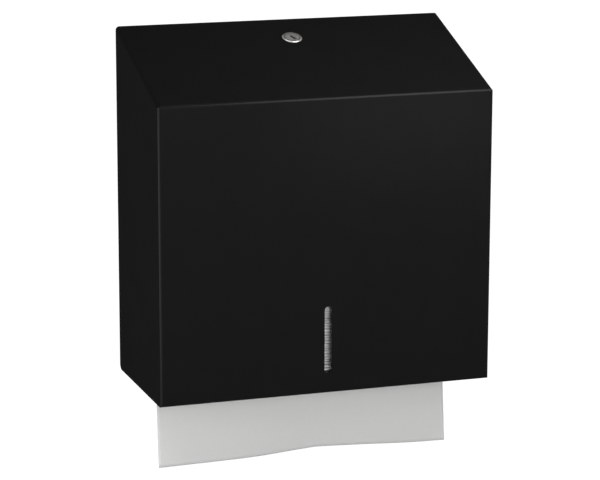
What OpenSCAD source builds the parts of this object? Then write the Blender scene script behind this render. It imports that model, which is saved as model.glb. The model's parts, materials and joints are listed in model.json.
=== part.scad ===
// Wall-hung dispenser for folded paper towels, with a lockable cover that swings
// forward. The wall is the plane y = 0, the front faces -Y, and the origin is the
// centre of the wall screws. Sizes are in millimetres, and heights are given above
// the cover's lower edge.

/* [Towels] */
// Width of a folded towel
towel_w = 240; // [200:1:320]
// Size of a folded towel from front to back
towel_d = 105; // [90:1:140]
// Height of the stack of towels
stack_h = 150; // [80:1:180]
// How far the towels above the tray's lip have slid to the front
slide = 6; // [0:0.5:8]
// Height of one fold on the stack's front and back
fold_pitch = 5; // [3:0.5:10]
// How far each fold stands out
fold_out = 0.8; // [0.2:0.1:2]
// Thickness of the hanging towel
paper_t = 0.5; // [0.3:0.1:1]
// How far the hanging towel reaches below the cover
hang_drop = 66; // [20:1:120]
// Lean of the hanging towel, its lower edge to the front, in degrees
hang_lean = 6; // [0:0.5:10]
// Place of the hanging towel's crease, right of the middle
crease_x = 18; // [-60:1:60]
// How far the crease lies behind the hanging towel's ends
crease_in = 13; // [2:1:16]

/* [Cover] */
// Room beside the towels, out to the cover's outside
end_room = 16; // [12:0.5:40]
// Room behind the towels, back to the wall
rear_room = 5.5; // [4:0.5:20]
// Room before the towels, out to the cover's front face
front_room = 11.5; // [11:0.5:30]
// Height of the cover at the wall
back_height = 279; // [250:1:400]
// Height of the cover at the front
front_height = 234; // [210:1:270]
// Thickness of the cover's sheet
cover_t = 1; // [0.8:0.1:1.5]
// Outside radius of the cover's bends
bend_r = 3; // [2:0.5:5]
// Radius of the side panels' lower back corners
corner_r = 5; // [2:0.5:15]
// Gap between the cover's back edge and the wall
wall_gap = 0.4; // [0.2:0.1:2]

/* [Sight slot] */
// Width of the slot
slot_w = 6; // [4:0.5:12]
// Height of the slot, with its round ends
slot_h = 53.5; // [30:0.5:120]
// Height of the slot's lower end
slot_low = 16.5; // [15:0.5:60]

/* [Base] */
// Thickness of the back plate, the tray and the guides
base_t = 1; // [0.8:0.1:1.5]
// Gap between the base and the cover's side panels
side_gap = 1; // [0.5:0.1:3]
// Height of the back plate's lower edge
plate_low = 2; // [0:0.5:6]
// Depth of the back plate's turned-in sides
plate_side = 20; // [10:1:40]
// Length of the back plate's top flange, down the slope
plate_top = 14; // [13:0.5:18]
// Depth of the mouth between its rolled edges
mouth_d = 44; // [30:1:60]
// Room beside the hanging towel in the mouth
mouth_side = 4; // [2:0.5:6]
// Diameter of the mouth's rolled edges
roll_d = 4; // [3:0.5:6]
// Diameter of the hole inside a rolled edge
roll_hole = 2; // [1:0.2:2.4]
// How far a rolled edge stands above the tray's floor
roll_up = 0.2; // [0.1:0.1:0.5]
// Gap between the towels and the guides
guide_gap = 1.5; // [0.5:0.5:4]
// Depth of the guides from the back plate
guide_d = 69; // [30:1:90]
// Height of the guides
guide_h = 140; // [60:1:180]
// Radius of the guides' front corners
guide_r = 12; // [4:1:20]
// Width of the guides' welded flanges
guide_flange = 9; // [6:1:15]
// Gap under a piece that only lies on its seat
seat_gap = 0.2; // [0.1:0.05:0.3]

/* [Wall screws] */
// Distance between the holes, sideways
hole_x = 180; // [120:1:200]
// Distance between the holes, upwards
hole_z = 130; // [80:1:160]
// Diameter of the holes
hole_d = 6; // [4:0.5:8]
// Height of the middle of the holes
hole_mid = 139; // [120:1:160]

/* [Buffers] */
// Distance of a buffer from the middle
buffer_x = 100; // [60:1:110]
// Diameter of a buffer's head
buffer_d = 9; // [6:0.5:10]
// Height of a buffer's head
buffer_h = 2.8; // [2:0.1:4]
// Diameter of a buffer's neck
neck_d = 4; // [3:0.5:5]
// Diameter of the bulb that holds a buffer from below
bulb_d = 6; // [5:0.5:8]
// Height of that bulb
bulb_h = 1.5; // [1:0.1:2]
// Gap between a buffer and the closed cover
buffer_gap = 0.2; // [0.1:0.05:0.5]

/* [Hinge] */
// Diameter of the hinge pin
pin_d = 3; // [2:0.1:3.5]
// Outside diameter of the knuckles
knuckle_d = 6; // [5.5:0.1:6.5]
// Number of knuckles on both leaves together
knuckle_n = 12; // [6:2:24]
// Gap between two knuckles
knuckle_gap = 0.3; // [0.2:0.1:1]
// Thickness of the leaves
leaf_t = 1; // [0.8:0.1:1.2]
// Height of the leaves above the pin
leaf_h = 10; // [9:0.5:11]
// Gap between the knuckles and what turns round them
swing_gap = 0.3; // [0.2:0.1:0.5]
// Gap between the knuckles and the tray's floor above them
floor_gap = 0.7; // [0.5:0.1:1.5]
// How far the tray's leaf lies inside the knuckles' outline
leaf_inset = 0.1; // [0.05:0.05:0.2]
// Number of rivets
rivet_n = 5; // [3:1:9]
// Diameter of the rivets
rivet_d = 2.4; // [2:0.1:3]
// Diameter of the rivets' heads
rivet_head_d = 4.4; // [3.5:0.1:4.6]
// Height of the rivets' heads
rivet_head_h = 0.8; // [0.5:0.1:1]

/* [Lock] */
// Distance of the lock from the wall, down the slope
lock_s = 33.5; // [31:0.5:60]
// Diameter of the lock's head
head_d = 16; // [15:0.5:24]
// Height of the lock's head
head_h = 1.6; // [1.2:0.1:3]
// Width of the chamfer on the lock's head
head_edge = 0.6; // [0.2:0.1:0.8]
// Diameter of the plug's face
face_d = 12; // [11:0.2:13.4]
// Gap round the plug's face
face_gap = 0.5; // [0.1:0.05:0.6]
// Thickness of the plug's face
face_h = 1; // [0.5:0.1:1.1]
// Diameter of the plug
plug_d = 9; // [8:0.5:9.5]
// Diameter of the barrel
barrel_d = 12; // [11.5:0.5:13]
// Width across the barrel's flats
flats_w = 10.5; // [10.2:0.1:11.2]
// Length of the barrel below the cover's top
barrel_l = 15; // [12:0.5:20]
// Length of the key slot
key_l = 5.6; // [4:0.2:6]
// How far the key slot lies off the plug's middle, along its length
key_off = 1; // [0:0.1:1]
// Width of the key slot
key_w = 2; // [1:0.2:3]
// Depth of the key slot
key_h = 8; // [7.5:0.5:9]
// Turn of the key slot from the slope, in degrees
key_turn = 29; // [0:1:90]
// Number of wafers in the plug
wafer_n = 4; // [2:1:4]
// Depth of the first wafer below the cover's top
wafer_first = 0.8; // [0.7:0.1:1.2]
// Distance from one wafer to the next
wafer_pitch = 1.4; // [1.2:0.1:1.6]
// Thickness of a wafer
wafer_t = 0.8; // [0.4:0.1:0.9]
// Rim of a wafer on each side of the key
wafer_rim = 0.9; // [0.5:0.1:1.2]
// Gap round the key in a wafer's window
wafer_gap = 0.1; // [0.05:0.05:0.3]
// Outside diameter of the washer under the cover
washer_d = 17; // [16:0.5:20]
// Thickness of that washer
washer_t = 0.8; // [0.5:0.1:1.5]
// Width of the nut across its flats
nut_w = 15; // [14.5:0.5:18]
// Height of the nut
nut_h = 4; // [3:0.5:6]

/* [Cam] */
// Length of the cam from the lock's axis
cam_l = 18.5; // [16:0.5:22]
// Width of the cam's tongue
cam_w = 10; // [8:0.5:12]
// Diameter of the cam's round end
cam_d = 14; // [13:0.5:16]
// Thickness of the cam
cam_t = 2; // [1.5:0.1:3]
// Bevel on the corners of the cam's tip
cam_bevel = 2; // [0.5:0.1:3]
// Gap between the barrel and what turns under it
cam_gap = 0.1; // [0.05:0.05:0.3]
// Thickness of the plate that stops the plug
stop_t = 1; // [0.8:0.1:1.5]
// Gap between the barrel's lug and the bottom of the stop plate's notch
notch_gap = 0.2; // [0.1:0.05:0.4]
// Angle of the lug, which runs in that notch, in degrees
lug_angle = 45; // [30:5:60]
// Turn of the plug between its stops, in degrees
stop_turn = 90; // [60:5:120]
// Slack beyond that turn at each stop, in degrees
stop_slack = 2; // [1:0.5:4]
// Width of the plug's square tail
tail_w = 5; // [4.5:0.1:5.4]
// Diameter of the cam's screw
screw_d = 3; // [2.5:0.1:3.4]
// Length of the screw inside the plug
screw_l = 8; // [6:0.5:9]
// Diameter of the screw's head
screw_head_d = 6; // [5:0.5:9]
// Height of the screw's head
screw_head_h = 2.4; // [2:0.1:4]
// Width of the slot in the screw's head
screw_slot = 1; // [0.6:0.1:1.5]
// Depth of that slot
screw_slot_h = 1; // [0.5:0.1:1.5]
// Diameter of the cam's washer
cam_washer_d = 10; // [9:0.5:13]
// How far the strike reaches over the cam's tip
catch_l = 7; // [4:0.5:7.5]
// Gap between the strike and the cam
strike_gap = 0.6; // [0.3:0.1:1]
// Width of the strike
strike_w = 50; // [45:1:70]
// Height of the strike's leg on the back plate
strike_leg = 25; // [15:1:40]

/* [Fits] */
// Running gap round the hinge pin and the lock's plug
run_gap = 0.05; // [0.02:0.01:0.08]
// Gap round a fixed piece in its hole
fit_gap = 0.05; // [0.02:0.01:0.08]

/* [Hidden] */
$fn = 64;

// How far a cut runs past the face that it opens
cut = 1;

// Outside of the cover
width = towel_w + 2 * end_room;
depth = rear_room + towel_d + front_room;
slope = atan((back_height - front_height) / depth);
inner_half = width / 2 - cover_t;
inner_r = bend_r - cover_t;

// Base
plate_half = inner_half - side_gap;
tray_half = plate_half - base_t;
mouth_w = towel_w + 2 * mouth_side;
mouth_y = -rear_room - towel_d / 2;
guide_x = towel_w / 2 + guide_gap;

// Hinge axis, and what lies round it
hinge_l = towel_w;
knuckle_pitch = hinge_l / knuckle_n;
pin_y = cover_t + swing_gap + knuckle_d / 2 - depth;
pin_z = cover_t + swing_gap + knuckle_d / 2;
tray_front = pin_y + knuckle_d / 2 - leaf_inset;
floor_low = pin_z + knuckle_d / 2 + floor_gap;
floor_top = floor_low + base_t;
tray_top = pin_z + leaf_h;
rivet_z = (floor_top + tray_top) / 2;
rivet_pitch = hinge_l / rivet_n;
guide_low = tray_top + seat_gap;
stack_low = floor_top + roll_up + seat_gap;

// Levels along the slope's normal, from the cover's top
flange_n = -cover_t - buffer_gap - buffer_h;
buffer_s = (plate_top + base_t) / 2;
washer_n = -cover_t - washer_t;
wafer_w = key_w + 2 * (wafer_gap + wafer_rim);
stop_n = -barrel_l - cam_gap;
cam_n = stop_n - stop_t;
cam_low = cam_n - cam_t;
// Angle where the barrel's lug begins: it lies down the slope
lug_from = -90 - lug_angle / 2;
strike_n = cam_n + strike_gap;
strike_s = lock_s - cam_l + catch_l;

// Hanging towel
hang_top = stack_low - seat_gap;
hang_l = (hang_top + hang_drop) / cos(hang_lean);
hang_y = mouth_y + hang_top * tan(hang_lean) - paper_t;

// Height of the line that runs a distance n above the cover's top, at depth y
function top_z(y, n) = back_height + y * tan(slope) + n / cos(slope);
// Point s down the slope and n above it, as depth and height
function slope_point(s, n) = [
    -s * cos(slope) - n * sin(slope),
    back_height - s * sin(slope) + n * cos(slope)
];
function unit(v) = v / norm(v);
// Directions from corner i of an outline to its neighbours
function to_last(p, i) = unit(p[(i + len(p) - 1) % len(p)] - p[i]);
function to_next(p, i) = unit(p[(i + 1) % len(p)] - p[i]);
function half_angle(p, i) = acos(to_last(p, i) * to_next(p, i)) / 2;

// Outline with corner i rounded to radii[i]
module rounded(p, radii) {
    polygon([
        for (i = [0 : len(p) - 1])
            let (reach = radii[i] / tan(half_angle(p, i)))
            each radii[i] > 0
                ? [p[i] + to_last(p, i) * reach, p[i] + to_next(p, i) * reach]
                : [p[i]]
    ]);
    for (i = [0 : len(p) - 1]) {
        if (radii[i] > 0) {
            middle = unit(to_last(p, i) + to_next(p, i)) / sin(half_angle(p, i));
            translate(p[i] + middle * radii[i]) circle(radii[i]);
        }
    }
}

// Moves heights above the cover's lower edge to heights above the wall screws
module on_wall() {
    translate([0, 0, -hole_mid]) children();
}

// Turns a depth and height outline into a solid between two places across
module across(x0, x1) {
    translate([x0, 0, 0]) rotate([90, 0, 90]) linear_extrude(x1 - x0) children();
}

// Stands children on the sloping top, +Z out of it and +Y up the slope
module on_slope(s) {
    p = slope_point(s, 0);
    translate([0, p.x, p.y]) rotate([slope, 0, 0]) children();
}

module block(low, high) {
    translate(low) cube(high - low);
}

module ring(outside, hole, height) {
    difference() {
        cylinder(d = outside, h = height);
        translate([0, 0, -cut]) cylinder(d = hole, h = height + 2 * cut);
    }
}

module barrel_outline(gap) {
    intersection() {
        circle(d = barrel_d + 2 * gap);
        square([flats_w + 2 * gap, barrel_d + 2 * cut], center = true);
    }
}

// Wedge from one angle to another, wider than the barrel
module sector(from, to) {
    polygon([[0, 0], for (a = [from, (from + to) / 2, to]) barrel_d * [cos(a), sin(a)]]);
}

// Stands children at each wafer, turned with the key slot
module at_wafers() {
    for (i = [0 : wafer_n - 1]) {
        rotate(key_turn) translate([0, 0, -wafer_first - i * wafer_pitch]) children();
    }
}

// Solid with the cover's bends, inset from the cover's outside: its side view is
// the given outline, and it is as wide and deep as the cover
module cover_form(inset, side_outline, side_radii) {
    half = width / 2 - inset;
    r = bend_r - inset;
    front = inset - depth;
    reach = back_height + depth;
    intersection() {
        across(-half - cut, half + cut) rounded(side_outline, side_radii);
        translate([0, 0, -2 * cut]) linear_extrude(reach)
            rounded([[-half, front], [half, front], [half, reach], [-half, reach]], [r, r, 0, 0]);
        on_slope(0) translate([0, reach, 0]) rotate([90, 0, 0]) linear_extrude(3 * reach)
            rounded([[-half, -2 * reach], [half, -2 * reach], [half, -inset], [-half, -inset]], [0, 0, r, r]);
    }
}

module cover_shell() color([0.09, 0.09, 0.1]) on_wall() {
    front = cover_t - depth;
    difference() {
        cover_form(0, [
            [-wall_gap, 0], [-wall_gap, top_z(-wall_gap, 0)], [-depth, front_height], [-depth, 0]
        ], [corner_r, 0, bend_r, bend_r]);
        cover_form(cover_t, [
            [cut, -cut], [cut, top_z(cut, -cover_t)], [front, top_z(front, -cover_t)],
            [front, cover_t], [tray_front, cover_t], [tray_front, -cut]
        ], [0, 0, inner_r, inner_r, 0, 0]);
        translate([0, cut - depth + cover_t, slot_low + slot_h / 2]) rotate([90, 0, 0])
            linear_extrude(cover_t + 2 * cut) {
                square([slot_w, slot_h - slot_w], center = true);
                for (side = [-1, 1]) {
                    translate([0, side * (slot_h - slot_w) / 2]) circle(d = slot_w);
                }
            }
        on_slope(lock_s) translate([0, 0, -cover_t - cut])
            linear_extrude(cover_t + 2 * cut) barrel_outline(fit_gap);
    }
}

module back_plate() color([0.12, 0.12, 0.13]) on_wall() {
    difference() {
        union() {
            across(-plate_half, plate_half) polygon([
                [0, plate_low], [0, top_z(0, flange_n)],
                slope_point(plate_top, flange_n), slope_point(plate_top, flange_n - base_t),
                [-base_t, top_z(-base_t, flange_n - base_t)], [-base_t, plate_low]
            ]);
            for (x = [-plate_half, tray_half]) {
                across(x, x + base_t) polygon([
                    [0, plate_low], [0, top_z(0, flange_n)],
                    [-plate_side, top_z(-plate_side, flange_n)], [-plate_side, plate_low]
                ]);
            }
        }
        for (x = [-hole_x / 2, hole_x / 2], z = [-hole_z / 2, hole_z / 2]) {
            translate([x, cut, hole_mid + z]) rotate([90, 0, 0])
                cylinder(d = hole_d, h = base_t + 2 * cut);
        }
        for (x = [-buffer_x, buffer_x]) {
            on_slope(buffer_s) translate([x, 0, flange_n - base_t - cut])
                cylinder(d = neck_d + 2 * fit_gap, h = base_t + 2 * cut);
        }
    }
}

// Shape that is repeated at each rivet, along -Y from the tray's lip
module at_rivets() {
    for (i = [0 : rivet_n - 1]) {
        translate([(i - (rivet_n - 1) / 2) * rivet_pitch, tray_front, rivet_z])
            rotate([90, 0, 0]) children();
    }
}

module rivet_holes() {
    at_rivets() translate([0, 0, -base_t - cut])
        cylinder(d = rivet_d + 2 * fit_gap, h = base_t + leaf_t + 2 * cut);
}

module bottom_tray() color([0.14, 0.14, 0.15]) on_wall() {
    roll_y = (mouth_d + roll_d) / 2;
    roll_z = floor_top + roll_up - roll_d / 2;
    difference() {
        union() {
            difference() {
                block([-tray_half, tray_front, floor_low], [tray_half, -base_t, tray_top]);
                block(
                    [base_t - tray_half, tray_front + base_t, floor_top],
                    [tray_half - base_t, -2 * base_t, tray_top + cut]
                );
                block(
                    [-mouth_w / 2, mouth_y - roll_y, floor_low - cut],
                    [mouth_w / 2, mouth_y + roll_y, floor_top + cut]
                );
            }
            for (y = [-roll_y, roll_y]) {
                translate([-mouth_w / 2, mouth_y + y, roll_z]) rotate([0, 90, 0])
                    cylinder(d = roll_d, h = mouth_w);
            }
        }
        for (y = [-roll_y, roll_y]) {
            translate([-mouth_w / 2 - cut, mouth_y + y, roll_z]) rotate([0, 90, 0])
                cylinder(d = roll_hole, h = mouth_w + 2 * cut);
        }
        rivet_holes();
    }
}

// Guide on the right: an upright wing and the flange that is welded to the back plate
module towel_guide() {
    high = guide_low + guide_h;
    across(guide_x, guide_x + base_t) rounded([
        [-base_t, guide_low], [-base_t, high], [-base_t - guide_d, high], [-base_t - guide_d, guide_low]
    ], [0, 0, guide_r, guide_r]);
    block([guide_x - guide_flange, -2 * base_t, guide_low], [guide_x, -base_t, high]);
}

module towel_guide_left() color([0.14, 0.14, 0.15]) on_wall() mirror([1, 0, 0]) towel_guide();

module towel_guide_right() color([0.14, 0.14, 0.15]) on_wall() towel_guide();

module strike_bracket() color("silver") on_wall() {
    foot = top_z(-base_t, strike_n) - strike_leg;
    across(-strike_w / 2, strike_w / 2) polygon([
        [-base_t, foot], [-base_t, top_z(-base_t, strike_n + base_t)],
        slope_point(strike_s, strike_n + base_t), slope_point(strike_s, strike_n),
        [-2 * base_t, top_z(-2 * base_t, strike_n)], [-2 * base_t, foot]
    ]);
}

module buffers() color([0.05, 0.05, 0.05]) on_wall() {
    for (x = [-buffer_x, buffer_x]) {
        on_slope(buffer_s) translate([x, 0, flange_n]) {
            cylinder(d = buffer_d, h = buffer_h);
            translate([0, 0, -base_t]) cylinder(d = neck_d, h = base_t);
            translate([0, 0, -base_t - bulb_h]) cylinder(d1 = neck_d, d2 = bulb_d, h = bulb_h);
        }
    }
}

// One half of the hinge: its leaf stands at leaf_y, and it has every second knuckle
module hinge_half(first, leaf_y) {
    clear_z = pin_z + knuckle_d / 2 + swing_gap;
    knuckle_l = knuckle_pitch - knuckle_gap;
    difference() {
        union() {
            block([-hinge_l / 2, leaf_y, clear_z], [hinge_l / 2, leaf_y + leaf_t, tray_top]);
            for (i = [first : 2 : knuckle_n - 1]) {
                x = i * knuckle_pitch + (knuckle_gap - hinge_l) / 2;
                block([x, leaf_y, pin_z], [x + knuckle_l, leaf_y + leaf_t, clear_z]);
                translate([x, pin_y, pin_z]) rotate([0, 90, 0])
                    cylinder(d = knuckle_d, h = knuckle_l);
            }
        }
        translate([-hinge_l / 2 - cut, pin_y, pin_z]) rotate([0, 90, 0])
            cylinder(d = pin_d + 2 * run_gap, h = hinge_l + 2 * cut);
    }
}

module hinge_leaf_tray() color("silver") on_wall() {
    difference() {
        hinge_half(0, tray_front - leaf_t);
        rivet_holes();
    }
}

module hinge_leaf_cover() color("silver") on_wall() {
    hinge_half(1, cover_t - depth);
}

module hinge_pin() color("gainsboro") on_wall() {
    translate([-hinge_l / 2, pin_y, pin_z]) rotate([0, 90, 0]) cylinder(d = pin_d, h = hinge_l);
}

module hinge_rivets() color("gainsboro") on_wall() {
    at_rivets() {
        translate([0, 0, -base_t]) cylinder(d = rivet_d, h = base_t + leaf_t);
        translate([0, 0, -base_t - rivet_head_h]) cylinder(d = rivet_head_d, h = rivet_head_h);
        translate([0, 0, leaf_t]) cylinder(d = rivet_head_d, h = rivet_head_h);
    }
}

// Side view of towels that are folded at both edges, between two heights
module folds(low, high, shift) {
    fold_n = max(1, round((high - low) / fold_pitch));
    fold_h = (high - low) / fold_n;
    rear = -rear_room - shift;
    front = rear - towel_d;
    // Height of a fold's flat edge, from the bottom of the fold
    edge = [fold_h / 4, fold_h * 3 / 4];
    front_edge = [
        for (i = [0 : fold_n - 1], p = [[fold_out, 0], [0, edge[0]], [0, edge[1]]])
            [front + p.x, low + i * fold_h + p.y]
    ];
    rear_edge = [
        for (i = [0 : fold_n - 1], p = [[fold_out, 0], [0, edge[0]], [0, edge[1]]])
            [rear - p.x, high - i * fold_h - p.y]
    ];
    polygon(concat(front_edge, [[front + fold_out, high]], rear_edge, [[rear - fold_out, low]]));
}

// The tray's lip holds the lowest towels, and those above it lie further to the front
module towel_stack() color("whitesmoke") on_wall() {
    over_lip = tray_top + seat_gap;
    across(-towel_w / 2, towel_w / 2) {
        folds(stack_low, over_lip, 0);
        folds(over_lip, stack_low + stack_h, slide);
    }
}

module lock_housing() color("silver") on_wall() on_slope(lock_s) {
    difference() {
        union() {
            cylinder(d = head_d, h = head_h - head_edge);
            translate([0, 0, head_h - head_edge])
                cylinder(d1 = head_d, d2 = head_d - 2 * head_edge, h = head_edge);
            translate([0, 0, -barrel_l]) linear_extrude(barrel_l) barrel_outline(0);
            translate([0, 0, -barrel_l - stop_t]) linear_extrude(stop_t) intersection() {
                barrel_outline(0);
                sector(lug_from, lug_from + lug_angle);
            }
        }
        translate([0, 0, head_h - face_h - run_gap])
            cylinder(d = face_d + 2 * face_gap, h = face_h + run_gap + cut);
        translate([0, 0, -barrel_l - stop_t - cut])
            cylinder(d = plug_d + 2 * run_gap, h = barrel_l + stop_t + head_h + 2 * cut);
    }
}

module lock_washer() color("silver") on_wall() on_slope(lock_s) {
    translate([0, 0, washer_n]) ring(washer_d, barrel_d + 2 * fit_gap, washer_t);
}

module lock_nut() color("silver") on_wall() on_slope(lock_s) {
    translate([0, 0, washer_n - nut_h]) difference() {
        cylinder(d = nut_w / cos(30), h = nut_h, $fn = 6);
        translate([0, 0, -cut]) cylinder(d = barrel_d + 2 * fit_gap, h = nut_h + 2 * cut);
    }
}

module lock_plug() color("gainsboro") on_wall() on_slope(lock_s) {
    difference() {
        union() {
            translate([0, 0, head_h - face_h]) cylinder(d = face_d, h = face_h);
            translate([0, 0, -barrel_l]) cylinder(d = plug_d, h = barrel_l + head_h - face_h);
            translate([-tail_w / 2, -tail_w / 2, cam_low + cam_gap])
                cube([tail_w, tail_w, cam_t + stop_t]);
        }
        at_wafers()
            cube([wafer_w + 2 * fit_gap, plug_d + 2 * cut, wafer_t + 2 * fit_gap], center = true);
        rotate(key_turn) translate([-key_w / 2, -key_l / 2 - key_off, head_h - key_h])
            cube([key_w, key_l, key_h + cut]);
        translate([0, 0, cam_low]) cylinder(d = screw_d + 2 * fit_gap, h = screw_l);
    }
}

module lock_wafers() color("goldenrod") on_wall() on_slope(lock_s) {
    at_wafers() linear_extrude(wafer_t, center = true) difference() {
        intersection() {
            square([wafer_w, plug_d], center = true);
            circle(d = plug_d - 2 * run_gap);
        }
        translate([0, -key_off])
            square([key_w + 2 * wafer_gap, key_l + 2 * wafer_gap], center = true);
    }
}

// Plate on the plug's tail: its notch lets the plug turn until it meets the lug
module stop_plate() color("silver") on_wall() on_slope(lock_s) {
    translate([0, 0, cam_n]) linear_extrude(stop_t) difference() {
        circle(d = barrel_d);
        square(tail_w + 2 * fit_gap, center = true);
        difference() {
            sector(lug_from - stop_turn - stop_slack, lug_from + lug_angle + stop_slack);
            circle(d = plug_d + 2 * (run_gap - notch_gap));
        }
    }
}

// The cam points to the right: a quarter turn puts it under the strike
module lock_cam() color("silver") on_wall() on_slope(lock_s) {
    translate([0, 0, cam_low]) linear_extrude(cam_t) difference() {
        union() {
            circle(d = cam_d);
            polygon([
                [0, -cam_w / 2], [cam_l - cam_bevel, -cam_w / 2], [cam_l, cam_bevel - cam_w / 2],
                [cam_l, cam_w / 2 - cam_bevel], [cam_l - cam_bevel, cam_w / 2], [0, cam_w / 2]
            ]);
        }
        square(tail_w + 2 * fit_gap, center = true);
    }
}

module cam_washer() color("silver") on_wall() on_slope(lock_s) {
    translate([0, 0, cam_low - washer_t]) ring(cam_washer_d, screw_d + 2 * fit_gap, washer_t);
}

module cam_screw() color("gainsboro") on_wall() on_slope(lock_s) {
    seat = cam_low - washer_t;
    difference() {
        union() {
            translate([0, 0, seat]) cylinder(d = screw_d, h = washer_t + screw_l - fit_gap);
            translate([0, 0, seat - screw_head_h]) cylinder(d = screw_head_d, h = screw_head_h);
        }
        block(
            [-screw_head_d, -screw_slot / 2, seat - screw_head_h - cut],
            [screw_head_d, screw_slot / 2, seat - screw_head_h + screw_slot_h]
        );
    }
}

module hanging_towel() color("whitesmoke") on_wall() {
    edge = [[-towel_w / 2, 0], [crease_x, crease_in], [towel_w / 2, 0]];
    translate([0, hang_y, hang_top]) rotate([-hang_lean, 0, 0]) translate([0, 0, -hang_l])
        linear_extrude(hang_l) polygon(concat(
            edge, [for (i = [len(edge) - 1 : -1 : 0]) edge[i] + [0, paper_t]]
        ));
}

back_plate();
bottom_tray();
towel_guide_left();
towel_guide_right();
strike_bracket();
buffers();
hinge_leaf_tray();
hinge_pin();
hinge_rivets();
towel_stack();
cover_shell();
hinge_leaf_cover();
lock_housing();
lock_washer();
lock_nut();
lock_plug();
lock_wafers();
stop_plate();
lock_cam();
cam_washer();
cam_screw();
hanging_towel();
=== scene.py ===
"""Looks of a wall-hung dispenser for folded paper towels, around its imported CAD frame."""

import json
import math
import random

import bmesh
import bpy
from mathutils import Matrix, Vector


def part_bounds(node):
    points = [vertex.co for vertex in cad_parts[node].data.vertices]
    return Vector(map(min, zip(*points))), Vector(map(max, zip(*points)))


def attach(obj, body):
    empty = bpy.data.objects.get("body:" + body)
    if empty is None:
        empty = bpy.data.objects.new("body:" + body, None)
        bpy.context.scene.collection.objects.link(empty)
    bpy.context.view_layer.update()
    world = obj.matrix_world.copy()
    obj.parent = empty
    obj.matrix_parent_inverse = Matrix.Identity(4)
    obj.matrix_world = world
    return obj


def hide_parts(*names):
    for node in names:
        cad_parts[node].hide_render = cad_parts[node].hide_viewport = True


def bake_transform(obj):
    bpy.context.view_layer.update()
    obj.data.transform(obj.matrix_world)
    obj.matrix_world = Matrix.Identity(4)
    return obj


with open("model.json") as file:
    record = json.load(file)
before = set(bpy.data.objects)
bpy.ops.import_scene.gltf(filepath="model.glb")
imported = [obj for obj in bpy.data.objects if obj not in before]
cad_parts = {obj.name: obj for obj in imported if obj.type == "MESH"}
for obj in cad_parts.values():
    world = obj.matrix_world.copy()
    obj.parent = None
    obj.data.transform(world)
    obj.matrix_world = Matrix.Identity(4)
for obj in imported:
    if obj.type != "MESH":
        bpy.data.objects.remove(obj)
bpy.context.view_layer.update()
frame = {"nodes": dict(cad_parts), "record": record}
MM = 0.001

# Decimals of a millimetre to which the frame's boxes are rounded
BOX_DECIMALS = 3

# Height of the cover's lower edge in the row frame, in millimetres
COVER_LOW = round(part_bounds("cover_shell")[0].z / MM, BOX_DECIMALS)

# Camera: the photograph's viewing angle and roll, in degrees, and its place, in metres
AZIMUTH = -18.743
ELEVATION = 12.548
ROLL = 0.124
CAMERA_AT = (-0.6431, -1.9479, 0.4147)

# Its lens and sensor, in millimetres, and how far it sees, in metres
LENS = 153.95
SENSOR = 36.0
CLIP_END = 100.0

# Hanging towel: its lower edge in plan, from the left to the crease and on to the right, in millimetres
CREASE = (14, -51)
LEFT_EDGE = [(-122.5, -66.5), (-92, -64.5), (-40, -60.5), (-10, -55), CREASE]
RIGHT_EDGE = [CREASE, (45, -56), (98, -64), (121.5, -65)]

# Height of its lower edge above the cover's, its lean, its paper, and the cells of its mesh
HANG_LOW = -66.0
HANG_LEAN = math.radians(6)
SHEET_T = 0.35
SHEET_STEP = 2.5
SHEET_ROWS = 26

# Its ripples and those of its hem: their depth, and the run of one radian down or across the sheet
RIPPLE = 0.25
RIPPLE_DOWN = 11.0
RIPPLE_ACROSS = 23.0
HEM_RIPPLE = 0.25
HEM_ACROSS = 31.0

# Stack of towels, in millimetres: those that clear the tray's lip lie this much further to the front
STACK_SLIDE = 6.0
LIP_CLEAR = 0.2

# Its number of towels, and the least and the most of their uneven shares of its height
TOWELS = 68
SHARES = (2.3, 3.5)

# One towel: its paper, the gaps to the next towel and between its flaps, the length of its rounded
# folds as a multiple of half their height, and the steps round a fold
PAPER_T = 0.55
LAYER_GAP = 0.25
FLAP_GAP = 3.0
NOSE = 1.7
FOLD_STEPS = 6

# How far a fold may lie back, the chance that a towel begins a new bundle, and the share of that
# distance which the towels of a bundle have in common
FOLD_BACK = 2.8
BUNDLE_CHANCE = 0.3
BUNDLE_SHARE = 0.45

# Room between a towel and the stack's box, and how far the towel strays from its place
FRONT_ROOM = 0.3
REAR_ROOM = 0.5
REAR_STRAY = (-0.5, 0.3)
END_ROOM = 0.6
END_STRAY = 0.5
SIDE_STRAY = 0.5
FLAP_STRAY = 3.0

# Waves along the folds: their depth, the run of one radian, and the stations along a towel
FOLD_WAVE = 0.25
FOLD_WAVE_RUN = 37.0
STATIONS = 9

# Seed of the stack's random draws
SEED = 11

# Darkest and lightest colour of each surface
COAT = (0.0051, 0.0051, 0.0053), (0.0067, 0.0067, 0.0069)
ZINC = (0.42, 0.43, 0.44), (0.6, 0.61, 0.62)
# The nickel's darkest colour is that of the painted shade in its slot and gaps
NICKEL = (0.01, 0.01, 0.01), (0.66, 0.645, 0.625)
BRASS = (0.5, 0.36, 0.14), (0.72, 0.56, 0.26)
RUBBER = (0.018, 0.018, 0.018), (0.034, 0.034, 0.034)
PAPER = (0.665, 0.665, 0.657), (0.755, 0.755, 0.747)

# Gloss of the cover's front, its left bend and its top bend, and where they begin by their normals
FRONT_SPAN = (0.36, 0.46)
FRONT_GLOSS = 0.044
LEFT_SPAN = (0.45, 0.7)
LEFT_GLOSS = 0.15
TOP_SPAN = (0.15, 0.5)
TOP_GLOSS = 0.15

# Painted shade in crevices: share of open sky over which a crevice turns from painted dark to its plain
# colour, and how wide it may be, in metres
CREVICE_SHADE_SPAN = (0.45, 0.9)
CREVICE_SHADE_REACH = 0.002

# Floor, in metres: such dispensers hang about this high above it
FLOOR_Z = -1.5
FLOOR_HALF = 60.0
FLOOR_CELLS = 8
FLOOR_COLOUR = (0.8, 0.8, 0.8, 1)
WHITE = (1, 1, 1, 1)

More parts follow.
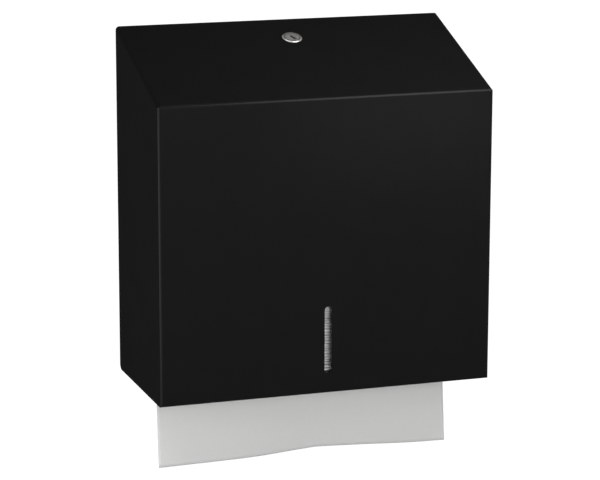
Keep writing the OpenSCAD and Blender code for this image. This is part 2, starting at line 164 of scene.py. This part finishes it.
# Distance from the object, in metres, over which the floor grows white, and its glow before that
FLOOR_NEAR = 1.2
FLOOR_FAR = 2.8
FLOOR_GLOW = 0.78

# Point that the lamps face, in metres, and each lamp's azimuth and elevation, in degrees,
# distance and size, in metres, and power, in watts
LIT_POINT = (0.0, -0.06, -0.03)
LAMPS = [
    ("key", 33, 49, 0.5, 0.28, 1.8),
    ("sheen", 25, 9, 0.5, 0.2, 0.34),
    ("soft", -58, 52, 0.9, 0.4, 2.4),
    ("fill", 0, 8, 1.8, 0.6, 13.8),
    ("side", 75, -6, 1.6, 0.7, 3.0),
    ("rim", -98, 6, 1.3, 1.0, 8.2),
    ("back", 140, -4, 1.8, 1.0, 36.0),
    ("near", -54, -6, 0.45, 0.3, 0.46),
]

# World: its light, how white it looks overhead, and the heights between which it turns so
WORLD_STRENGTH = 0.1
SKY_SEEN = 0.3
SKY_LOW = 0.45
SKY_HIGH = 0.8


def new_object(name, data):
    made = bpy.data.objects.new(name, data)
    bpy.context.scene.collection.objects.link(made)
    return made


def mesh_object(name, mesh):
    """Turns a finished bmesh into an object."""
    data = bpy.data.meshes.new(name)
    mesh.to_mesh(data)
    mesh.free()
    return new_object(name, data)


def row_point(x, y, height):
    """Point in the row frame, in metres, from millimetres and a height above the cover's lower edge."""
    return Vector((x, y, height + COVER_LOW)) * MM


def part_box(node):
    """Lowest and highest corner of a CAD node, in the millimetres and heights that row_point takes."""
    corners = [[value / MM for value in corner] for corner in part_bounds(node)]
    return [[round(value, BOX_DECIMALS) for value in (x, y, z - COVER_LOW)] for x, y, z in corners]


def top_of(node):
    """Height of a CAD node's top above the cover's lower edge, in millimetres."""
    return part_box(node)[1][2]


def direction(azimuth, elevation):
    """Unit vector from the object: azimuth 0 points to the front, along -Y, and 90 along +X."""
    a = math.radians(azimuth)
    e = math.radians(elevation)
    return Vector((math.sin(a) * math.cos(e), -math.cos(a) * math.cos(e), math.sin(e)))


def graded(tree, source, span, ends):
    """Value that goes from one end to the other as the source crosses the span."""
    node = tree.nodes.new("ShaderNodeMapRange")
    node.interpolation_type = "SMOOTHSTEP"
    node.inputs["From Min"].default_value, node.inputs["From Max"].default_value = span
    node.inputs["To Min"].default_value, node.inputs["To Max"].default_value = ends
    tree.links.new(source, node.inputs["Value"])
    return node.outputs["Result"]


# Materials

class Surface:
    """A material with one main shader, and short ways to drive it from noise."""

    def __init__(self, name, **sockets):
        self.material = bpy.data.materials.new(name)
        self.material.use_nodes = True
        self.tree = self.material.node_tree
        self.shader = self.tree.nodes["Principled BSDF"]
        for socket, value in sockets.items():
            self.shader.inputs[socket.replace("_", " ")].default_value = value
        self.place = self.tree.nodes.new("ShaderNodeTexCoord").outputs["Object"]

    def link(self, source, target):
        self.tree.links.new(source, target)

    def stretched(self, scale):
        mapping = self.tree.nodes.new("ShaderNodeMapping")
        mapping.inputs["Scale"].default_value = scale
        self.link(self.place, mapping.inputs["Vector"])
        return mapping.outputs["Vector"]

    def noise(self, scale, detail, roughness=0.5, stretch=None):
        node = self.tree.nodes.new("ShaderNodeTexNoise")
        node.inputs["Scale"].default_value = scale
        node.inputs["Detail"].default_value = detail
        node.inputs["Roughness"].default_value = roughness
        self.link(self.stretched(stretch) if stretch else self.place, node.inputs["Vector"])
        return node.outputs["Fac"]

    def cells(self, scale):
        node = self.tree.nodes.new("ShaderNodeTexVoronoi")
        node.inputs["Scale"].default_value = scale
        self.link(self.place, node.inputs["Vector"])
        return node.outputs["Distance"]

    def colour(self, source, dark, light):
        ramp = self.tree.nodes.new("ShaderNodeValToRGB")
        ramp.color_ramp.elements[0].color = (*dark, 1)
        ramp.color_ramp.elements[1].color = (*light, 1)
        self.link(source, ramp.inputs["Fac"])
        self.link(ramp.outputs["Color"], self.shader.inputs["Base Color"])

    def rough(self, source, low, high):
        node = self.tree.nodes.new("ShaderNodeMapRange")
        node.inputs["To Min"].default_value = low
        node.inputs["To Max"].default_value = high
        self.link(source, node.inputs["Value"])
        self.link(node.outputs["Result"], self.shader.inputs["Roughness"])

    def facing(self, towards, span, ends=(0.0, 1.0)):
        """Goes from one end to the other as the surface turns towards a direction."""
        dot = self.tree.nodes.new("ShaderNodeVectorMath")
        dot.operation = "DOT_PRODUCT"
        dot.inputs[1].default_value = towards
        self.link(self.tree.nodes.new("ShaderNodeTexCoord").outputs["Normal"], dot.inputs[0])
        return graded(self.tree, dot.outputs["Value"], span, ends)

    def crevice_shade(self, reach):
        """Painted shade: 1 in the open, and less in gaps and slots narrower than the reach, where it
        darkens the colour.
        """
        node = self.tree.nodes.new("ShaderNodeAmbientOcclusion")
        node.inputs["Distance"].default_value = reach
        return graded(self.tree, node.outputs["AO"], CREVICE_SHADE_SPAN, (0.0, 1.0))

    def math(self, operation, first, second):
        node = self.tree.nodes.new("ShaderNodeMath")
        node.operation = operation
        self.link(first, node.inputs[0])
        self.link(second, node.inputs[1])
        return node.outputs[0]

    def polish(self, source):
        self.link(source, self.shader.inputs["Coat Weight"])

    def bump(self, source, depth, before=None):
        """Fine relief, its depth in metres, on top of the relief before it."""
        node = self.tree.nodes.new("ShaderNodeBump")
        node.inputs["Distance"].default_value = depth
        self.link(source, node.inputs["Height"])
        if before:
            self.link(before, node.inputs["Normal"])
        self.link(node.outputs["Normal"], self.shader.inputs["Normal"])
        return node.outputs["Normal"]


def make_coat():
    """Matte black powder coat with a fine orange peel, polished a little along the front's bends."""
    s = Surface("matte_black_coat", Specular_IOR_Level=0.01, Coat_Roughness=0.25)
    s.colour(s.noise(scale=60, detail=4), *COAT)
    s.rough(s.noise(scale=25, detail=3), low=0.86, high=0.96)
    s.bump(s.noise(scale=1400, detail=3), depth=0.00002)
    left = s.facing((-1, 0, 0), LEFT_SPAN, (0.0, LEFT_GLOSS))
    top = s.facing((0, 0, 1), TOP_SPAN, (FRONT_GLOSS, TOP_GLOSS))
    s.polish(s.math("MULTIPLY", s.facing((0, -1, 0), FRONT_SPAN), s.math("ADD", left, top)))
    return s.material


def make_zinc():
    """Zinc-plated steel, with a faint spangle."""
    s = Surface("zinc_plated_steel", Metallic=1.0)
    s.colour(s.cells(scale=260), *ZINC)
    s.rough(s.noise(scale=180, detail=4), low=0.3, high=0.5)
    s.bump(s.noise(scale=900, detail=4), depth=0.00002)
    return s.material


def make_nickel():
    """Nickel-plated lock, lightly worn by keys, with painted shade in its slot and gaps."""
    s = Surface("nickel_plate", Metallic=1.0)
    wear = s.noise(scale=300, detail=4)
    # The colour is darkened by painted shade in the key slot and the gaps round the plug
    s.colour(s.math("MULTIPLY", wear, s.crevice_shade(CREVICE_SHADE_REACH)), *NICKEL)
    s.rough(s.noise(scale=700, detail=4), low=0.3, high=0.42)
    s.bump(s.noise(scale=2200, detail=3), depth=0.000012)
    return s.material


def make_brass():
    s = Surface("stamped_brass", Metallic=1.0)
    s.colour(s.noise(scale=500, detail=4), *BRASS)
    s.rough(s.noise(scale=900, detail=3), low=0.25, high=0.42)
    s.bump(s.noise(scale=1800, detail=3), depth=0.00001)
    return s.material


def make_rubber():
    s = Surface("black_rubber", Specular_IOR_Level=0.2)
    s.colour(s.noise(scale=400, detail=4), *RUBBER)
    s.rough(s.noise(scale=600, detail=3), low=0.65, high=0.85)
    s.bump(s.noise(scale=2500, detail=4), depth=0.00003)
    return s.material


def make_paper():
    """Towel paper: fibres, and the fine crepe across the sheet."""
    s = Surface("towel_paper", Specular_IOR_Level=0.15)
    s.colour(s.noise(scale=900, detail=5, roughness=0.7), *PAPER)
    s.rough(s.noise(scale=500, detail=3), low=0.85, high=0.95)
    creping = s.noise(scale=420, detail=3, roughness=0.6, stretch=(0.25, 1, 2.6))
    crepe = s.bump(creping, depth=0.00006)
    s.bump(s.noise(scale=2600, detail=4, roughness=0.65), depth=0.00003, before=crepe)
    return s.material


SURFACES = {
    "black_coat": make_coat(),
    "zinc_steel": make_zinc(),
    "nickel": make_nickel(),
    "brass": make_brass(),
    "rubber": make_rubber(),
    "paper": make_paper(),
}


def dress(piece, slot):
    piece.data.materials.clear()
    piece.data.materials.append(SURFACES[slot])


def dress_frame():
    """Gives each CAD node the material of its slot."""
    for part in frame["record"]["subparts"]:
        dress(frame["nodes"][part["node"]], part["material_slot"])


# Paper

def smooth_line(points, step):
    """Points along a smooth line through the given ones, about step apart in x."""
    slopes = [(b[1] - a[1]) / (b[0] - a[0]) for a, b in zip(points, points[1:])]
    inner = [2 * a * b / (a + b) if a * b > 0 else 0.0 for a, b in zip(slopes, slopes[1:])]
    ends = [slopes[0], *inner, slopes[-1]]
    made = []
    for i, (a, b) in enumerate(zip(points, points[1:])):
        run = b[0] - a[0]
        count = max(1, round(run / step))
        for k in range(count):
            t = k / count
            hermite = (
                (1 + 2 * t) * (1 - t) ** 2 * a[1] + t * (1 - t) ** 2 * run * ends[i]
                + t * t * (3 - 2 * t) * b[1] + t * t * (t - 1) * run * ends[i + 1]
            )
            made.append((a[0] + run * t, hermite))
    return [*made, points[-1]]


def make_hanging_towel():
    """The towel that hangs from the mouth: one creased sheet, leaning a little to the front.

    Its top stays in the mouth.
    """
    plan = smooth_line(LEFT_EDGE, SHEET_STEP)[:-1] + smooth_line(RIGHT_EDGE, SHEET_STEP)
    hang_top = top_of("hanging_towel")
    drop = hang_top - HANG_LOW
    mesh = bmesh.new()
    rows = []
    for k in range(SHEET_ROWS + 1):
        height = HANG_LOW + drop * k / SHEET_ROWS
        shift = (height - HANG_LOW) * math.tan(HANG_LEAN)
        ripple = RIPPLE * math.sin(height / RIPPLE_DOWN)
        hem = HEM_RIPPLE * (1 - k / SHEET_ROWS)
        rows.append([
            mesh.verts.new(row_point(
                x,
                y + shift + ripple * math.sin(x / RIPPLE_ACROSS),
                height + hem * math.sin(x / HEM_ACROSS),
            ))
            for x, y in plan
        ])
    for low, high in zip(rows, rows[1:]):
        for i in range(len(plan) - 1):
            mesh.faces.new((low[i], low[i + 1], high[i + 1], high[i])).smooth = True
    towel = mesh_object("hanging_towel_sheet", mesh)
    thick = towel.modifiers.new("paper", "SOLIDIFY")
    thick.thickness = SHEET_T * MM
    thick.offset = 0
    dress(towel, "paper")
    crease_y = CREASE[1]
    low = row_point(0, crease_y, HANG_LOW)
    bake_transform(towel)
    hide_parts("hanging_towel")


def folded_outline(front, rear, height, middle):
    """Outline of one folded towel from the side: both thirds are turned in over the middle one."""
    def side(inset):
        r = height / 2 - inset
        nose_y = front + NOSE * height / 2
        tail_y = rear - NOSE * height / 2
        turns = [math.pi / FOLD_STEPS * i for i in range(FOLD_STEPS + 1)]
        nose = [(nose_y - NOSE * r * math.sin(a), height / 2 + r * math.cos(a)) for a in turns]
        tail = [(tail_y + NOSE * r * math.sin(a), height / 2 - r * math.cos(a)) for a in turns]
        front_flap = (middle - FLAP_GAP / 2, height - inset)
        rear_flap = (middle + FLAP_GAP / 2, height - inset)
        return [front_flap, *nose, *tail, rear_flap]
    return side(0) + side(PAPER_T)[::-1]


def add_towel(mesh, outline, low, half, aside, phase):
    """Adds one folded towel to the mesh: its outline, carried from end to end in a slight wave."""
    rings = []
    for k in range(STATIONS):
        x = aside + half * (2 * k / (STATIONS - 1) - 1)
        wave = FOLD_WAVE * math.sin(x / FOLD_WAVE_RUN + phase)
        rings.append([mesh.verts.new(row_point(x, y + wave, low + z)) for y, z in outline])
    count = len(outline)
    hems = (0, count // 2 - 1, count // 2, count - 1)
    for a, b in zip(rings, rings[1:]):
        for i in range(count):
            j = (i + 1) % count
            mesh.faces.new((a[i], a[j], b[j], b[i])).smooth = True
        for i in hems:
            mesh.edges.get((a[i], b[i])).smooth = False
    for end in (rings[0], rings[-1]):
        for edge in mesh.faces.new(end).edges:
            edge.smooth = False


def make_stack():
    """The stack of folded towels, each one a thin folded sheet of its own."""
    (left, near, low), (right, far, high) = part_box("towel_stack")
    over_lip = top_of("bottom_tray") + LIP_CLEAR
    draw = random.Random(SEED)
    shares = [draw.uniform(*SHARES) for _ in range(TOWELS)]
    scale = (high - low) / sum(shares)
    mesh = bmesh.new()
    bundle = 0.0
    for share in shares:
        pitch = share * scale
        slid = STACK_SLIDE if low > over_lip else 0.0
        if draw.random() < BUNDLE_CHANCE:
            bundle = draw.random()
        back = FOLD_BACK * (BUNDLE_SHARE * bundle + (1 - BUNDLE_SHARE) * draw.random())
        front = near + STACK_SLIDE - slid + FRONT_ROOM + back
        rear = far - slid - REAR_ROOM + draw.uniform(*REAR_STRAY)
        middle = (front + rear) / 2 + draw.uniform(-FLAP_STRAY, FLAP_STRAY)
        outline = folded_outline(front, rear, pitch - LAYER_GAP, middle)
        half = (right - left) / 2 - END_ROOM + draw.uniform(-END_STRAY, END_STRAY)
        aside = draw.uniform(-SIDE_STRAY, SIDE_STRAY)
        phase = draw.uniform(0, 2 * math.pi)
        add_towel(mesh, outline, low, half, aside, phase)
        low += pitch
    bmesh.ops.recalc_face_normals(mesh, faces=mesh.faces)
    stack = mesh_object("towel_stack_folds", mesh)
    dress(stack, "paper")
    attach(stack, "base")
    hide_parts("towel_stack")


# Studio

def make_camera():
    """A camera at the photograph's viewing angle."""
    azimuth = math.radians(AZIMUTH)
    roll = math.radians(ROLL)
    back = direction(AZIMUTH, ELEVATION)
    level = Vector((math.cos(azimuth), math.sin(azimuth), 0))
    right = level * math.cos(roll) + back.cross(level) * math.sin(roll)
    up = back.cross(right)
    data = bpy.data.cameras.new("camera")
    data.sensor_fit = "HORIZONTAL"
    data.sensor_width = SENSOR
    data.lens = LENS
    data.clip_end = CLIP_END
    camera = new_object("camera", data)
    camera.matrix_world = Matrix((right, up, back)).transposed().to_4x4()
    camera.location = CAMERA_AT
    bpy.context.scene.camera = camera


def make_lamp(name, azimuth, elevation, distance, size, power):
    """A square lamp that faces the object."""
    away = direction(azimuth, elevation)
    data = bpy.data.lights.new(name, "AREA")
    data.size = size
    data.energy = power
    lamp = new_object(name, data)
    lamp.location = Vector(LIT_POINT) + away * distance
    lamp.rotation_euler = (-away).to_track_quat("-Z", "Y").to_euler()
    lamp.visible_camera = False


def seen(tree):
    """1 for what the camera sees, straight or in metal and glass, and 0 for light."""
    path = tree.nodes.new("ShaderNodeLightPath")
    total = path.outputs["Is Camera Ray"]
    for ray in ("Is Glossy Ray", "Is Transmission Ray"):
        add = tree.nodes.new("ShaderNodeMath")
        add.use_clamp = True
        tree.links.new(total, add.inputs[0])
        tree.links.new(path.outputs[ray], add.inputs[1])
        total = add.outputs[0]
    return total


def make_floor():
    """A wide pale floor, which reads as white and keeps a soft shadow under the object."""
    mesh = bmesh.new()
    bmesh.ops.create_grid(mesh, x_segments=FLOOR_CELLS, y_segments=FLOOR_CELLS, size=FLOOR_HALF)
    floor = mesh_object("floor", mesh)
    floor.location.z = FLOOR_Z
    s = Surface("pale_floor", Base_Color=FLOOR_COLOUR, Roughness=1.0, Specular_IOR_Level=0.0)
    s.shader.inputs["Emission Color"].default_value = WHITE
    away = s.tree.nodes.new("ShaderNodeVectorMath")
    away.operation = "LENGTH"
    s.link(s.place, away.inputs[0])
    glow = graded(s.tree, away.outputs["Value"], (FLOOR_NEAR, FLOOR_FAR), (FLOOR_GLOW, 1.0))
    s.link(s.math("MULTIPLY", seen(s.tree), glow), s.shader.inputs["Emission Strength"])
    floor.data.materials.append(s.material)


def make_world():
    """Soft even light; to the eye it is white at the horizon and grey overhead."""
    world = bpy.data.worlds.new("studio")
    bpy.context.scene.world = world
    world.use_nodes = True
    tree = world.node_tree
    background = tree.nodes["Background"]
    background.inputs["Color"].default_value = WHITE
    place = tree.nodes.new("ShaderNodeTexCoord")
    split = tree.nodes.new("ShaderNodeSeparateXYZ")
    tree.links.new(place.outputs["Generated"], split.inputs[0])
    sky = graded(tree, split.outputs["Z"], (SKY_LOW, SKY_HIGH), (1.0, SKY_SEEN))
    mix = tree.nodes.new("ShaderNodeMix")
    mix.inputs["A"].default_value = WORLD_STRENGTH
    tree.links.new(seen(tree), mix.inputs["Factor"])
    tree.links.new(sky, mix.inputs["B"])
    tree.links.new(mix.outputs["Result"], background.inputs["Strength"])


bpy.context.scene.view_settings.view_transform = "Standard"
dress_frame()
make_stack()
make_hanging_towel()
make_camera()
make_floor()
make_world()
for lamp in LAMPS:
    make_lamp(*lamp)
